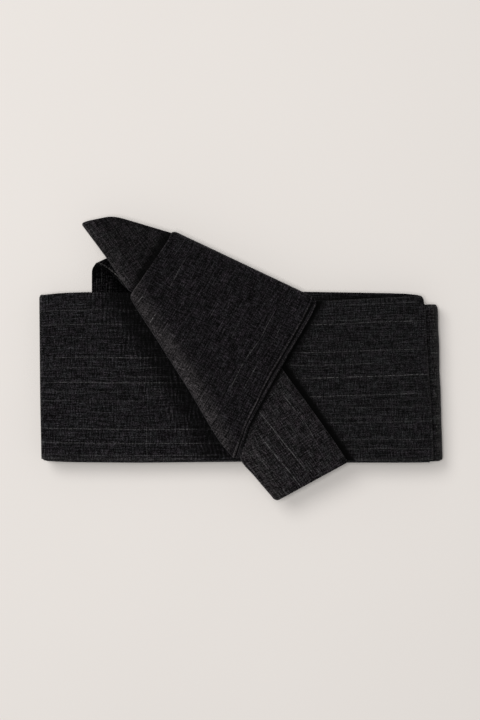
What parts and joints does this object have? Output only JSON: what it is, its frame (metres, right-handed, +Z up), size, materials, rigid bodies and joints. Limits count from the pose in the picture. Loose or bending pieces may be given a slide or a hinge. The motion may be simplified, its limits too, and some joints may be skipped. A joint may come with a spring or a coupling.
{
  "type": "obi sash",
  "caption": "Dark slubbed obi sash folded flat in a stack, with its wide end wrapped over a half-folded tail in a flat knot on top.",
  "frame": {"origin": "on the surface the sash lies on, under the middle of the whole folded sash", "axes": "+X along the folded stack, towards its double right fold; +Y across the stack, towards the ear of the knot; +Z up, out of the face with the knot"},
  "size_m": [0.2363, 0.1659, 0.0253],
  "materials": {
    "cloth": "matte charcoal-black slub weave, firm double ply"
  },
  "bodies": {
    "root": {"stack_core": "cloth", "outer_right_fold": "cloth", "left_front_panel": "cloth", "right_front_panel": "cloth", "rising_strand": "cloth", "tail_ear": "cloth", "tail_end": "cloth", "wide_wrap": "cloth"}
  },
  "joints": []
}
